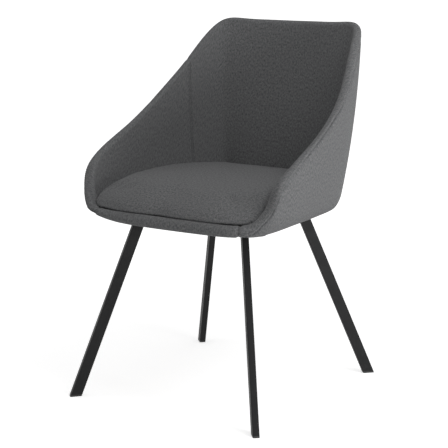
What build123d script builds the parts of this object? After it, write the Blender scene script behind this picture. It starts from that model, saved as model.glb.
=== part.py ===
"""Upholstered dining chair: a padded bucket shell on a welded four-legged steel frame.

Millimetres. +Z is up and the chair faces -Y. The origin is on the floor under the middle of the chair.
"""
import math
import os

from build123d import *

# Overall sizes of the chair.
OVERALL_DEPTH = 588.0  # front feet to the back of the rim
BACK_TOP = 835.0  # floor to the rim at the top corners of the back
SHELL_UNDERSIDE = 415.0  # floor to the lower edge of the upholstered shell

# The padded wall, measured on the centre line of its rounded rim.
WALL = 28.0  # thickness over both covers
ARM_HALF_WIDTH = 248.0
FRONT_SETBACK = 32.0  # front band behind the front feet
BAND_HEIGHT = 26.0  # front band, from the underside to its rim
TUCK_RADIUS = 40.0  # curve that carries the wall under the seat
TUCK_SHARE = 0.65  # part of a low wall's height that the curve may take
LEAN_RIM_SIDE = -3.0  # lean of the outer face from upright, in degrees
LEAN_RIM_BACK = 4.0
LEAN_FOOT_SIDE = 13.0
LEAN_FOOT_BACK = 11.0
LEAN_FOOT_CORNER = 34.0
INNER_RADIUS = 150.0  # least curve of the inner face, where the wall is low

# Layers of the wall.
COVER = 1.2  # woven cover
CLEARANCE = 0.3  # between one layer and the next
OUTER_WADDING = 3.5  # padding outside the moulded shell
MOULDED_SHELL = 8.0
FLANGE = 31.0  # in-turned foot of the moulded shell
COVER_HEM = 18.0  # cover turned under the shell
SEAM_GAP = 0.8  # groove of the seam along the rim
BAND_TAIL = 6.0  # cover turned down behind a low rim

# Seat base.
BASE_BOARD = 12.0
BOARD_EDGE_ROOM = 1.0
RAIL_WIDTH = 30.0
RAIL_HALF_LENGTH = 160.0
DUST_COVER = 0.8
DUST_COVER_ROOM = 2.0
SHELL_SCREW_INSET = 24.5  # from the start of the tuck to a screw in the flange

# Seat pad.
PAD_HEIGHT = 62.0
PAD_SIDE = 32.0  # upright height of its sides and back
PAD_BOARD = 8.0
PAD_BOARD_ROOM = 3.0  # board's edge inside the outline of the pad
PAD_HEM = 30.0  # cover turned under the pad
PAD_CROWN_BACK = 222.0  # middle of the crown behind the rim of the front band
PAD_SIDE_ROOM = 3.5  # to the walls
PAD_OVERHANG = 4.0  # front edge past the inside of the front band
CROWN_SIDE = 8.0  # how boxy the crown is: 2 is round
CROWN_FRONT = 2.6

# Leg frame, of rectangular steel tube.
TUBE_DEPTH = 25.0
TUBE_WIDTH = 15.0
TUBE_WALL = 1.5
TUBE_CORNER = 2.0
FOOT_HALF_WIDTH = 242.0  # foot centre to the chair's middle plane
REAR_FOOT_BACK = 242.0  # rear foot centre behind the chair's middle
FRONT_ARM_ROOM = 32.5  # end of a front arm to the edge of the cloth under the seat
REAR_ARM_ROOM = 2.0
PLUG_CAP = 4.0
PLUG_STEM = 16.0
PLUG_FIT = 0.2
HUB_SIZE = 70.0
HUB_PLATE = 4.0
HUB_GAP = 12.0  # inner end of an arm to the middle of the hub
TAB_LENGTH = 84.0
TAB_WIDTH = 30.0
TAB_PLATE = 4.0
TAB_INSET = 60.0  # end of an arm to the middle of its tab

# Fasteners.
BOLT = 6.0
BOLT_HOLE = 7.0
BOLT_SPACING = 56.0
BOLT_HEAD = 10.0
BOLT_HEAD_HEIGHT = 4.0
WASHER = 13.0
WASHER_PLATE = 1.6
NUT_BARREL = 8.0
NUT_BARREL_LENGTH = 9.0
NUT_FLANGE = 19.0
NUT_PLATE = 1.2
THREAD_ROOM = 0.1  # around a bolt, a barrel or a screw in its hole
SCREW = 4.0
SCREW_HEAD = 9.0
SCREW_HEAD_HEIGHT = 2.4
SHELL_SCREW_BITE = 9.0  # screw in the base board
PAD_SCREW_BITE = 6.0  # screw in the pad's board
PAD_SCREW_ACROSS = 70.0
PAD_SCREW_FRONT = 190.0  # ahead of the chair's middle
PAD_SCREW_REAR = 60.0
STAPLE_CROWN = 10.0
STAPLE_WIRE = 1.0
STAPLE_INSET = 9.0

# The rim as a line in space: heading of the outward cut in degrees, then shares of the
# half width, of the way from the front band to the back, and of the rise to the top.
RIM_LINE = [
    (-90, 0.000, 0.000, 0.000),
    (-90, 0.484, 0.004, 0.000),
    (-82, 0.746, 0.018, 0.003),
    (-60, 0.851, 0.042, 0.023),
    (-45, 0.895, 0.057, 0.055),
    (-28, 0.940, 0.074, 0.099),
    (-12, 0.980, 0.105, 0.203),
    (-4, 0.996, 0.168, 0.271),
    (0, 1.000, 0.290, 0.349),
    (2, 0.996, 0.406, 0.418),
    (6, 0.980, 0.539, 0.516),
    (13, 0.944, 0.655, 0.625),
    (21, 0.879, 0.769, 0.762),
    (34, 0.810, 0.880, 0.914),
    (53, 0.702, 0.963, 0.998),
    (75, 0.524, 0.983, 1.000),
    (90, 0.242, 0.996, 0.996),
    (90, 0.000, 1.000, 0.995),
]
FRONT_SEAM = 2  # rows where one piece of the shell meets the next
ARM_SEAM = 5
INSIDE_SEAM = 12
BACK_MIDDLE = len(RIM_LINE) - 1
LEAST_TURN = 0.02  # shortest arc of a cut, in radians

# Levels of the pad: a share of its height, and how far its side is drawn in there.
PAD_LEVELS = [(0.0, 3.0), (0.22, 0.0), (0.5, 0.0), (0.72, 0.0), (0.87, 0.0), (0.95, 0.0), (0.985, 0.0)]

# Rows that have a screw from the moulded shell into the base board.
SHELL_SCREW_ROWS = (7, 9, 11, 13, 15)

# Heights and radii that follow from the sizes above.
RIM_RADIUS = WALL / 2
BAND_TOP = SHELL_UNDERSIDE + BAND_HEIGHT
LINING = COVER + CLEARANCE
PAD_LINING = COVER + 2 * CLEARANCE
POCKET_OUT = LINING + OUTER_WADDING
SHELL_OUT = POCKET_OUT + CLEARANCE
SHELL_IN = SHELL_OUT + MOULDED_SHELL
POCKET_IN = SHELL_IN + CLEARANCE
BOARD_LOW = SHELL_UNDERSIDE + SHELL_IN
BOARD_TOP = BOARD_LOW + BASE_BOARD
SEAT_LEVEL = BOARD_TOP + CLEARANCE
PAD_LOW = BOARD_TOP + COVER
TAB_TOP = BOARD_LOW - DUST_COVER
ARM_TOP = TAB_TOP - TAB_PLATE
ARM_LOW = ARM_TOP - TUBE_DEPTH
FRONT_RIM = FRONT_SETBACK - OVERALL_DEPTH / 2
BACK_RIM = OVERALL_DEPTH / 2 - RIM_RADIUS
PAD_MIDDLE = FRONT_RIM + PAD_CROWN_BACK
SIDES = (("right", 1), ("left", -1))
JOIN_LIMIT = 1e-6
LEG_ROUNDS = 4  # rounds that settle a leg's lean, which its foot's outline depends on

os.makedirs("parts", exist_ok=True)


def save(name, *solids):
    """Write one sub-part, or a group of like solids, to its own file."""
    export_step(solids[0] if len(solids) == 1 else Compound(children=list(solids)), f"parts/{name}.step")


def upright(radius, low, high, x=0.0, y=0.0):
    """A round bar standing between two heights."""
    return Pos(x, y, (low + high) / 2) * Cylinder(radius, high - low)


# The padded wall: upright cuts across it, and layers that run straight from cut to cut.


class Station:
    """One upright cut through the padded wall: tangent arcs for the tuck, the face and the rim.

    A place in the cut is a distance outwards from the rim's centre line and a height.
    A lean is the angle of a face's outward normal below the level.
    """

    def __init__(self, index, side):
        heading, across, back, up = RIM_LINE[index]
        turn = math.radians(heading)
        self.out = Vector(side * math.cos(turn), math.sin(turn), 0)
        self.foot = Vector(side * across * ARM_HALF_WIDTH, FRONT_RIM + back * (BACK_RIM - FRONT_RIM), 0)
        self.top = BAND_TOP + up * (BACK_TOP - BAND_TOP)
        toward_back = max(0.0, math.sin(turn))
        at_corner = math.sin(2 * turn) ** 2 if turn < 0 else 0.0
        rim_lean = LEAN_RIM_SIDE * math.cos(min(0.0, turn)) + toward_back * (LEAN_RIM_BACK - LEAN_RIM_SIDE)
        foot_lean = LEAN_FOOT_SIDE + toward_back * (LEAN_FOOT_BACK - LEAN_FOOT_SIDE)
        foot_lean += at_corner * (LEAN_FOOT_CORNER - LEAN_FOOT_SIDE)
        self.rim_lean = math.radians(rim_lean)
        self.foot_lean = math.radians(foot_lean)
        height = self.top - SHELL_UNDERSIDE
        self.tuck_radius = min(TUCK_RADIUS, TUCK_SHARE * (height - RIM_RADIUS))
        rise = height - RIM_RADIUS - self.tuck_radius
        rise += self.tuck_radius * math.sin(self.foot_lean) - RIM_RADIUS * math.sin(self.rim_lean)
        self.face_radius = rise / (math.sin(self.foot_lean) - math.sin(self.rim_lean))
        self.rim_centre = (0.0, self.top - RIM_RADIUS)
        self.face_centre = self.move(self.rim_centre, RIM_RADIUS - self.face_radius, self.rim_lean)
        self.tuck_centre = self.move(self.face_centre, self.face_radius - self.tuck_radius, self.foot_lean)
        self.inner_radius = max(self.face_radius - WALL, INNER_RADIUS)
        self.inner_centre = self.move(self.rim_centre, -RIM_RADIUS - self.inner_radius, self.rim_lean)

    @staticmethod
    def move(start, distance, lean):
        """Go a distance from a place in the cut, along the outward normal of a face with that lean."""
        return start[0] + distance * math.cos(lean), start[1] - distance * math.sin(lean)

    def point(self, out, height):
        """A place in the cut, in space."""
        return self.foot + self.out * out + Vector(0, 0, height)

    def arc(self, centre, radius, start, end):
        """Start, middle and end of an arc of the cut between two leans."""
        leans = (start, (start + end) / 2, end)
        return tuple(self.point(*self.move(centre, radius, lean)) for lean in leans)

    def hem(self, inset, length):
        """The level run under the shell, outwards to the tuck."""
        height = SHELL_UNDERSIDE + inset
        return self.point(self.tuck_centre[0] - length, height), self.point(self.tuck_centre[0], height)

    def tuck(self, inset):
        """The curve from under the seat up to the outer face."""
        return self.arc(self.tuck_centre, self.tuck_radius - inset, math.pi / 2, self.foot_lean)

    def tuck_above(self, inset, height):
        """The part of that curve above a height."""
        radius = self.tuck_radius - inset
        lean = math.asin(min(1.0, (self.tuck_centre[1] - height) / radius))
        return self.arc(self.tuck_centre, radius, max(lean, self.foot_lean + LEAST_TURN), self.foot_lean)

    def face(self, inset, rise=0.0):
        """The outer face, or a layer inside it, up to the middle of the rim and a little above."""
        radius = self.face_radius - inset
        return self.arc(self.face_centre, radius, self.foot_lean, self.rim_lean - rise / radius)

    def rim(self, inset, gap=0.0):
        """The rounded rim in two quarter turns, from a gap past its outer edge to its inner edge."""
        radius = RIM_RADIUS - inset
        crest = self.rim_lean - math.pi / 2
        outer = self.arc(self.rim_centre, radius, self.rim_lean - gap / RIM_RADIUS, crest)
        return [outer, self.arc(self.rim_centre, radius, crest, self.rim_lean - math.pi)]

    def inside(self, inset):
        """The inner face from the rim down to the base board, or to just behind a low rim."""
        radius = self.inner_radius + inset
        height = min(SEAT_LEVEL, self.rim_centre[1] - BAND_TAIL)
        lean = math.asin((self.inner_centre[1] - height) / radius)
        return self.arc(self.inner_centre, radius, self.rim_lean, lean)

    def inside_out(self, height):
        """How far out the inner face lies at a height."""
        if height > self.rim_centre[1]:
            return -RIM_RADIUS
        drop = self.inner_centre[1] - height
        return self.inner_centre[0] + math.sqrt(self.inner_radius**2 - drop**2)


def outline(runs):
    """A closed wire through runs of two points, a line, or three, an arc, with straight joins."""
    edges = []
    for run, following in zip(runs, runs[1:] + runs[:1]):
        edges.append(Edge.make_line(*run) if len(run) == 2 else Edge.make_three_point_arc(*run))
        if (run[-1] - following[0]).length > JOIN_LIMIT:
            edges.append(Edge.make_line(run[-1], following[0]))
    return Wire(edges)


def back_along(runs):
    """The same runs, walked the other way."""
    return [run[::-1] for run in reversed(runs)]


def around(first):
    """Stations from the right side, round the back, to the left side."""
    right = [Station(i, 1) for i in range(first, BACK_MIDDLE + 1)]
    return right + [Station(i, -1) for i in range(BACK_MIDDLE - 1, first - 1, -1)]


def across_front(last):
    """Stations from the left side, along the front band, to the right side."""
    left = [Station(i, -1) for i in range(last, 0, -1)]
    return left + [Station(i, 1) for i in range(last + 1)]


def layer_between(stations, outward_runs, inward_runs):
    """A solid through stations, with a closed cut out along some runs and back along others."""
    return Solid.make_loft([outline(outward_runs(s) + back_along(inward_runs(s))) for s in stations], ruled=True)


def outside_runs(station, inset, hem):
    """Under the shell and up its outer face."""
    return [station.hem(inset, hem), station.tuck(inset), station.face(inset)]


def lining_runs(station, inset, gap=0.0):
    """Over the rim, from a gap past its outer edge, and down the inner face."""
    return station.rim(inset, gap) + [station.inside(inset)]


def pocket_runs(station):
    """Round the space that the padding leaves for the moulded shell."""
    outer = [station.hem(POCKET_OUT, COVER_HEM), station.tuck(POCKET_OUT), station.face(POCKET_OUT, CLEARANCE)]
    inner = [station.tuck_above(POCKET_IN, SEAT_LEVEL), station.face(POCKET_IN, CLEARANCE)]
    return outer + back_along(inner)


def outside_cover_runs(inset):
    return lambda station: outside_runs(station, inset, COVER_HEM)


def lining_cover_runs(inset):
    return lambda station: lining_runs(station, inset, SEAM_GAP)


def band_cover_runs(inset):
    return lambda station: outside_runs(station, inset, COVER_HEM) + lining_runs(station, inset)


# Covers of the shell, sewn together along the outer edge of the rim and down the inside corners.
save("outside_cover", layer_between(around(FRONT_SEAM), outside_cover_runs(0), outside_cover_runs(COVER)))
save("inside_back_cover", layer_between(around(INSIDE_SEAM), lining_cover_runs(0), lining_cover_runs(COVER)))
for side_name, side in SIDES:
    wing = [Station(i, side) for i in range(FRONT_SEAM, INSIDE_SEAM + 1)]
    save(f"wing_cover_{side_name}", layer_between(wing, lining_cover_runs(0), lining_cover_runs(COVER)))
save("front_band_cover", layer_between(across_front(FRONT_SEAM), band_cover_runs(0), band_cover_runs(COVER)))

# Moulded shell, with its foot turned in under the base board.
moulded_shell = layer_between(
    around(ARM_SEAM),
    lambda station: outside_runs(station, SHELL_OUT, FLANGE),
    lambda station: outside_runs(station, SHELL_IN, FLANGE),
)

# Padding over the moulded shell: thin down the outside, round the rim and thick down the inside.
shell_foam = layer_between(
    around(ARM_SEAM),
    lambda station: outside_runs(station, LINING, COVER_HEM) + lining_runs(station, LINING),
    pocket_runs,
)
save("shell_foam", shell_foam)

# Padding of the front band, with no moulded shell in it.
front_band_foam = layer_between(
    across_front(ARM_SEAM),
    lambda station: [station.tuck(LINING), station.face(LINING)] + lining_runs(station, LINING),
    lambda station: [],
)
save("front_band_foam", front_band_foam)

# Seat base: a board on the flange of the moulded shell, with a rail under its front edge.


def all_round():
    """Every station once, for an outline that closes on itself."""
    right = [Station(i, 1) for i in range(BACK_MIDDLE + 1)]
    return right + [Station(i, -1) for i in range(BACK_MIDDLE - 1, 0, -1)]


def slab(points, low, high):
    """A board with a straight-sided outline between two heights."""
    face = make_face(Polyline(*[(point.X, point.Y) for point in points], close=True))
    return Pos(0, 0, low) * extrude(face, high - low)


def board_edge(station, room):
    """A place inside the tuck and the rim."""
    return station.point(min(station.tuck_centre[0], -RIM_RADIUS) - room, 0)


rail_front = Station(FRONT_SEAM, 1).foot.Y + RIM_RADIUS + BOARD_EDGE_ROOM
rail_back = rail_front + RAIL_WIDTH
rail_low = SHELL_UNDERSIDE + LINING
rail = Box(2 * RAIL_HALF_LENGTH, RAIL_WIDTH, BOARD_LOW - rail_low)
save("front_rail", Pos(0, (rail_front + rail_back) / 2, (rail_low + BOARD_LOW) / 2) * rail)

cloth_edge = [Vector(side * RAIL_HALF_LENGTH, rail_back + DUST_COVER_ROOM, 0) for side in (-1, 1)]
for station in around(ARM_SEAM + 1):
    cloth_edge.append(station.point(station.tuck_centre[0] - FLANGE - DUST_COVER_ROOM, 0))

# Leg frame: four leaning legs under four level arms that meet at a hub.


def distance_to(edge, direction):
    """How far a level line from the chair's middle runs before it crosses a closed outline."""
    crossings = []
    for start, end in zip(edge, edge[1:] + edge[:1]):
        along = end - start
        turn = direction.X * along.Y - direction.Y * along.X
        if turn > JOIN_LIMIT and 0 <= (start.X * direction.Y - start.Y * direction.X) / turn <= 1:
            crossings.append((start.X * along.Y - start.Y * along.X) / turn)
    return max(crossings)


class Leg:
    """Where one leg stands, which way its arm points and how it leans."""

    def __init__(self, side, front):
        room = FRONT_ARM_ROOM if front else REAR_ARM_ROOM
        self.lean = 0.0
        depth = OVERALL_DEPTH / 2 - TUBE_DEPTH if front else REAR_FOOT_BACK
        for _ in range(LEG_ROUNDS):
            self.length = TUBE_DEPTH / math.cos(self.lean)
            depth = OVERALL_DEPTH / 2 - self.reach(depth) if front else REAR_FOOT_BACK
            self.foot = Vector(side * FOOT_HALF_WIDTH, -depth if front else depth, 0)
            self.out = self.foot.normalized()
            self.end = distance_to(cloth_edge, self.out) - room
            self.slope = (self.foot.length - self.end + self.length / 2) / ARM_LOW
            self.lean = math.atan(self.slope)

    def reach(self, depth):
        """Half the depth that the foot's rounded outline takes up, about that far from the middle."""
        turn = math.atan2(depth, FOOT_HALF_WIDTH)
        along = (self.length / 2 - TUBE_CORNER) * math.sin(turn)
        return along + (TUBE_WIDTH / 2 - TUBE_CORNER) * math.cos(turn) + TUBE_CORNER

    def radius(self, height):
        """Distance of the leg's centre line from the middle at a height."""
        return self.foot.length - self.slope * height

    def plane(self, radius, height):
        """A level plane on the arm's line, with its X axis pointing outwards."""
        return Plane(origin=self.out * radius + Vector(0, 0, height), x_dir=self.out, z_dir=(0, 0, 1))

    def prism(self, outline, low, high):
        """An outline carried up the leaning centre line between two heights."""
        along = Vector(0, 0, 1) - self.out * self.slope
        section = self.plane(self.radius(low), low) * outline
        return extrude(section, amount=(high - low) * along.length, dir=along.normalized())

    def outlines(self):
        """The tube's level outline outside and inside."""
        inner_corner = TUBE_CORNER - TUBE_WALL
        outer = RectangleRounded(self.length, TUBE_WIDTH, TUBE_CORNER)
        inner_length = self.length - 2 * TUBE_WALL / math.cos(self.lean)
        return outer, RectangleRounded(inner_length, TUBE_WIDTH - 2 * TUBE_WALL, inner_corner)

    def plug_stem(self):
        """The outline of the plug's stem inside the tube."""
        length = self.length - 2 * (TUBE_WALL / math.cos(self.lean) + PLUG_FIT)
        return Rectangle(length, TUBE_WIDTH - 2 * (TUBE_WALL + PLUG_FIT))

    def bolt_places(self):
        """Middles of the two bolts, either side of the arm."""
        middle = self.out * (self.end - TAB_INSET)
        sideways = self.out.rotate(Axis.Z, 90) * (BOLT_SPACING / 2)
        return [middle + sideways, middle - sideways]


legs = {}
for side_name, side in SIDES:
    legs[f"front_{side_name}"] = Leg(side, front=True)
    legs[f"rear_{side_name}"] = Leg(side, front=False)

for name, leg in legs.items():
    outer, inner = leg.outlines()
    save(f"leg_{name}", leg.prism(outer - inner, PLUG_CAP, ARM_LOW))
    save(f"foot_plug_{name}", leg.prism(outer, 0, PLUG_CAP) + leg.prism(leg.plug_stem(), PLUG_CAP, PLUG_CAP + PLUG_STEM))

    arm_plane = leg.plane((HUB_GAP + leg.end) / 2, ARM_LOW + TUBE_DEPTH / 2)
    bore_plane = leg.plane((HUB_GAP + leg.end) / 2 - TUBE_WALL, ARM_LOW + TUBE_DEPTH / 2)
    arm = Box(leg.end - HUB_GAP, TUBE_WIDTH, TUBE_DEPTH)
    arm = fillet(arm.edges().filter_by(Axis.X), TUBE_CORNER)
    bore = Box(leg.end - HUB_GAP, TUBE_WIDTH - 2 * TUBE_WALL, TUBE_DEPTH - 2 * TUBE_WALL)
    save(f"frame_arm_{name}", arm_plane * arm - bore_plane * bore)

    tab = Box(TAB_WIDTH, TAB_LENGTH, TAB_PLATE)
    tab = fillet(tab.edges().filter_by(Axis.Z), TUBE_CORNER)
    tab -= GridLocations(0, BOLT_SPACING, 1, 2) * Cylinder(BOLT_HOLE / 2, TAB_PLATE)
    save(f"mounting_tab_{name}", leg.plane(leg.end - TAB_INSET, ARM_TOP + TAB_PLATE / 2) * tab)

hub = Pos(0, 0, ARM_LOW - HUB_PLATE / 2) * Box(HUB_SIZE, HUB_SIZE, HUB_PLATE)
save("hub_plate", fillet(hub.edges().filter_by(Axis.Z), TUBE_CORNER))

# Seat board and the cloth under it, with holes for every fastener.
bolt_places = [place for leg in legs.values() for place in leg.bolt_places()]
shell_screw_places = [
    Station(row, side).point(Station(row, side).tuck_centre[0] - SHELL_SCREW_INSET, 0)
    for row in SHELL_SCREW_ROWS
    for _, side in SIDES
]
pad_screw_places = [
    Vector(side * PAD_SCREW_ACROSS, y, 0) for _, side in SIDES for y in (-PAD_SCREW_FRONT, PAD_SCREW_REAR)
]


def at_places(places, radius, low, high):
    """Round bars of one size at several places."""
    return [upright(radius, low, high, place.X, place.Y) for place in places]


board = slab([board_edge(s, BOARD_EDGE_ROOM) for s in all_round()], BOARD_LOW, BOARD_TOP)
board -= at_places(bolt_places, NUT_BARREL / 2 + THREAD_ROOM, BOARD_LOW, BOARD_TOP)
board -= at_places(bolt_places, NUT_FLANGE / 2 + THREAD_ROOM, BOARD_TOP - NUT_PLATE, BOARD_TOP)
board -= at_places(shell_screw_places, SCREW / 2 + THREAD_ROOM, BOARD_LOW, BOARD_LOW + SHELL_SCREW_BITE)
board -= at_places(pad_screw_places, SCREW / 2 + THREAD_ROOM, BOARD_LOW, BOARD_TOP)
board -= at_places(pad_screw_places, SCREW_HEAD / 2 + THREAD_ROOM, BOARD_LOW, BOARD_LOW + SCREW_HEAD_HEIGHT)
save("seat_base_board", board)

cloth = slab(cloth_edge, TAB_TOP, BOARD_LOW)
save("dust_cover", cloth - at_places(bolt_places, BOLT_HOLE / 2, TAB_TOP, BOARD_LOW))

flange_low = SHELL_UNDERSIDE + SHELL_OUT
moulded_shell -= at_places(shell_screw_places, SCREW / 2 + THREAD_ROOM, flange_low, BOARD_LOW)
save("moulded_shell", moulded_shell)

# Fasteners: frame bolts in tee nuts, shell and pad screws, and staples along the covers' hem.


def fastener(place, shank, low, high, head, head_height):
    """A round-headed bolt or screw pointing up, with its shank between two heights."""
    head_low = low - head_height
    return upright(shank / 2, low, high, place.X, place.Y) + upright(head / 2, head_low, low, place.X, place.Y)


washer_low = ARM_TOP - WASHER_PLATE
bolts = [fastener(p, BOLT, washer_low, BOARD_TOP - NUT_PLATE, BOLT_HEAD, BOLT_HEAD_HEIGHT) for p in bolt_places]
save("base_bolts", *bolts)
washers = []
tee_nuts = []
for place in bolt_places:
    bore = upright(BOLT / 2 + THREAD_ROOM, washer_low, BOARD_TOP, place.X, place.Y)
    barrel_low = BOARD_TOP - NUT_PLATE - NUT_BARREL_LENGTH
    barrel = upright(NUT_BARREL / 2, barrel_low, BOARD_TOP, place.X, place.Y)
    washers.append(upright(WASHER / 2, washer_low, ARM_TOP, place.X, place.Y) - bore)
    tee_nuts.append(barrel + upright(NUT_FLANGE / 2, BOARD_TOP - NUT_PLATE, BOARD_TOP, place.X, place.Y) - bore)
save("base_washers", *washers)
save("tee_nuts", *tee_nuts)

shell_screw_high = BOARD_LOW + SHELL_SCREW_BITE
screws = [fastener(p, SCREW, flange_low, shell_screw_high, SCREW_HEAD, SCREW_HEAD_HEIGHT) for p in shell_screw_places]
save("shell_screws", *screws)
pad_screw_low = BOARD_LOW + SCREW_HEAD_HEIGHT
pad_screw_high = PAD_LOW + PAD_SCREW_BITE
screws = [fastener(p, SCREW, pad_screw_low, pad_screw_high, SCREW_HEAD, SCREW_HEAD_HEIGHT) for p in pad_screw_places]
save("pad_screws", *screws)

staples = []
for station in all_round():
    place = station.point(station.tuck_centre[0] - STAPLE_INSET, SHELL_UNDERSIDE - STAPLE_WIRE / 2)
    along = Plane(origin=place, x_dir=station.out.rotate(Axis.Z, 90), z_dir=(0, 0, 1))
    staples.append(along * Box(STAPLE_CROWN, STAPLE_WIRE, STAPLE_WIRE))
save("hem_staples", *staples)

# Seat pad: foam on its own board in a cover, high at the sides and rolled over at the front.


def pad_place(station, share, drawn, thickness):
    """A place on the pad, or on a layer inside it, where the pad has a share of its height."""
    toward_front = max(0.0, -station.out.Y)
    at_band = max(0.0, 1 - (station.top - BAND_TOP) / RIM_RADIUS)
    height = BOARD_TOP + share * PAD_HEIGHT
    shoulder = PAD_SIDE / PAD_HEIGHT * (1 - toward_front)
    crown = CROWN_SIDE + (CROWN_FRONT - CROWN_SIDE) * toward_front
    girth = station.inside_out(BOARD_TOP + PAD_SIDE) + at_band * PAD_OVERHANG - (1 - at_band) * PAD_SIDE_ROOM
    out = min(girth - drawn, station.inside_out(height) + at_band * PAD_OVERHANG - PAD_SIDE_ROOM * (1 - at_band))
    spread = (1 - max(0.0, share - shoulder) / (1 - shoulder)) ** (1 / crown)
    middle = Vector(0, PAD_MIDDLE, 0)
    place = middle + (station.point(out - thickness, 0) - middle) * spread
    return place + Vector(0, 0, BOARD_TOP + share * (PAD_HEIGHT - thickness))


def pad_ring(share, drawn, thickness):
    """The pad's level outline, straight from station to station like the walls round it."""
    return Wire.make_polygon([pad_place(station, share, drawn, thickness) for station in all_round()])


def pad_form(thickness, low):
    """The pad's form above a height, or that of a layer inside it."""
    form = Solid.make_loft([pad_ring(share, drawn, thickness) for share, drawn in PAD_LEVELS], ruled=True)
    return split(form, Plane.XY.offset(low), Keep.TOP) if low > BOARD_TOP else form


def pad_slab(inset, low, high):
    """A straight-sided slab inside the pad, drawn in towards the pad's middle, between two heights."""
    places = []
    for station in all_round():
        shares = ((height - BOARD_TOP) / PAD_HEIGHT for height in (low, high))
        edges = [pad_place(station, share, PAD_LEVELS[0][1], 0) for share in shares]
        spokes = [Vector(edge.X, edge.Y - PAD_MIDDLE, 0) for edge in edges]
        spoke = min(spokes, key=lambda reach: reach.length)
        places.append(Vector(0, PAD_MIDDLE, 0) + spoke.normalized() * (spoke.length - inset))
    return slab(places, low, high)


save("pad_cover", pad_form(0, BOARD_TOP) - pad_form(COVER, PAD_LOW) - pad_slab(PAD_HEM, BOARD_TOP, PAD_LOW))
pad_board = pad_slab(PAD_BOARD_ROOM, PAD_LOW, PAD_LOW + PAD_BOARD)
save("pad_board", pad_board - at_places(pad_screw_places, SCREW / 2 + THREAD_ROOM, PAD_LOW, pad_screw_high))
save("pad_foam", pad_form(PAD_LINING, PAD_LOW + PAD_BOARD))
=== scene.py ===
import math
from types import SimpleNamespace

import bpy
import numpy as np
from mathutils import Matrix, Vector


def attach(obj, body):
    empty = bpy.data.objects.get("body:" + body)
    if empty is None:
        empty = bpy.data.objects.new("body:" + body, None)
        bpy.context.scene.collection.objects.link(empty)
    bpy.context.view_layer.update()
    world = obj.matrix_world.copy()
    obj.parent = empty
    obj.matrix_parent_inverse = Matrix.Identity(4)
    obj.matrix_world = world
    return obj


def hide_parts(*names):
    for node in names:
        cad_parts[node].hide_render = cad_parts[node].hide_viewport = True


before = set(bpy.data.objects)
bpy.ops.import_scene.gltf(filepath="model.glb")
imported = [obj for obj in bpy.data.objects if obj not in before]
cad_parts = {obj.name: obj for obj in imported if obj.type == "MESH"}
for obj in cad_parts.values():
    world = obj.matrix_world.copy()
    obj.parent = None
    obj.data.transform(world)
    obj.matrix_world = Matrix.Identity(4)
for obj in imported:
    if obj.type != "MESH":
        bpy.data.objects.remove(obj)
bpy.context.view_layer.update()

# Leg frame.
# Legs, arms, tabs and hub are rectangular steel tube and plate, welded together and then powder
# coated matte black, with a slight orange peel and a few pale scuffs near the floor.
BLACK_COAT = (0.0065, 0.0065, 0.007, 1.0)
BLACK_COAT_WORN = (0.024, 0.024, 0.025, 1.0)
COAT_PEEL = 950.0  # bumps per metre
COAT_BUMP = (0.25, 0.0003)  # strength, and height in metres
COAT_TONE = 35.0
COAT_ROUGHNESS = (0.46, 0.58)
COAT_GLOSS = 0.2
SCUFFS = 60.0
SCUFF_STRETCH = 0.35  # scale of the scuffs upwards
SCUFF_RANGE = (0.58, 0.72)  # of their noise, from clean to scuffed
SCUFF_DETAIL, SCUFF_ROUGHNESS = 6.0, 0.7  # of that noise
WEAR_HEIGHT, WEAR_ABOVE = 0.15, 0.12  # where the wear near the floor ends, and its share above
NOISE_RANGE = (0.3, 0.7)  # what most of a noise keeps to
STEEL_NODES = [
    f"{piece}_{end}_{side}"
    for piece in ("leg", "frame_arm", "mounting_tab")
    for end in ("front", "rear")
    for side in ("left", "right")
] + ["hub_plate"]


def new_finish(name):
    """A material with a Principled shader; returns the material, its node tree and the shader."""
    material = bpy.data.materials.new(name)
    material.use_nodes = True
    return material, material.node_tree, material.node_tree.nodes["Principled BSDF"]


def set_inputs(tree, node, inputs):
    """Put values or other nodes' outputs on a node's inputs."""
    for socket, value in inputs.items():
        if isinstance(value, bpy.types.NodeSocket):
            tree.links.new(value, node.inputs[socket])
        else:
            node.inputs[socket].default_value = value


def add_node(tree, kind, inputs=None, **settings):
    """A shader node with its settings and inputs."""
    node = tree.nodes.new(kind)
    for name, value in settings.items():
        setattr(node, name, value)
    set_inputs(tree, node, inputs or {})
    return node


def add_noise(tree, place, scale, detail=3.0, roughness=0.55):
    """Noise between 0 and 1 at a place, with so many blots to a metre."""
    inputs = {"Vector": place, "Scale": scale, "Detail": detail, "Roughness": roughness}
    return add_node(tree, "ShaderNodeTexNoise", inputs).outputs["Fac"]


def add_range(tree, value, span, onto=(0.0, 1.0)):
    """A value carried from one range onto another and held within it."""
    inputs = {"Value": value, "From Min": span[0], "From Max": span[1]}
    inputs |= {"To Min": onto[0], "To Max": onto[1]}
    return add_node(tree, "ShaderNodeMapRange", inputs).outputs["Result"]


def add_math(tree, operation, first, second):
    """Two values put together by one operation."""
    return add_node(tree, "ShaderNodeMath", {0: first, 1: second}, operation=operation).outputs[0]


def add_blend(tree, share, first, second):
    """A colour between two colours."""
    node = add_node(tree, "ShaderNodeMix", {0: share}, data_type="RGBA")
    colours = [number for number, socket in enumerate(node.inputs) if socket.type == "RGBA"]
    set_inputs(tree, node, dict(zip(colours, (first, second))))
    return next(socket for socket in node.outputs if socket.type == "RGBA")


def add_bump(tree, height, bump):
    """A normal tilted by a height map, with a strength and a height in metres."""
    inputs = {"Height": height, "Strength": bump[0], "Distance": bump[1]}
    return add_node(tree, "ShaderNodeBump", inputs).outputs["Normal"]


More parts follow.
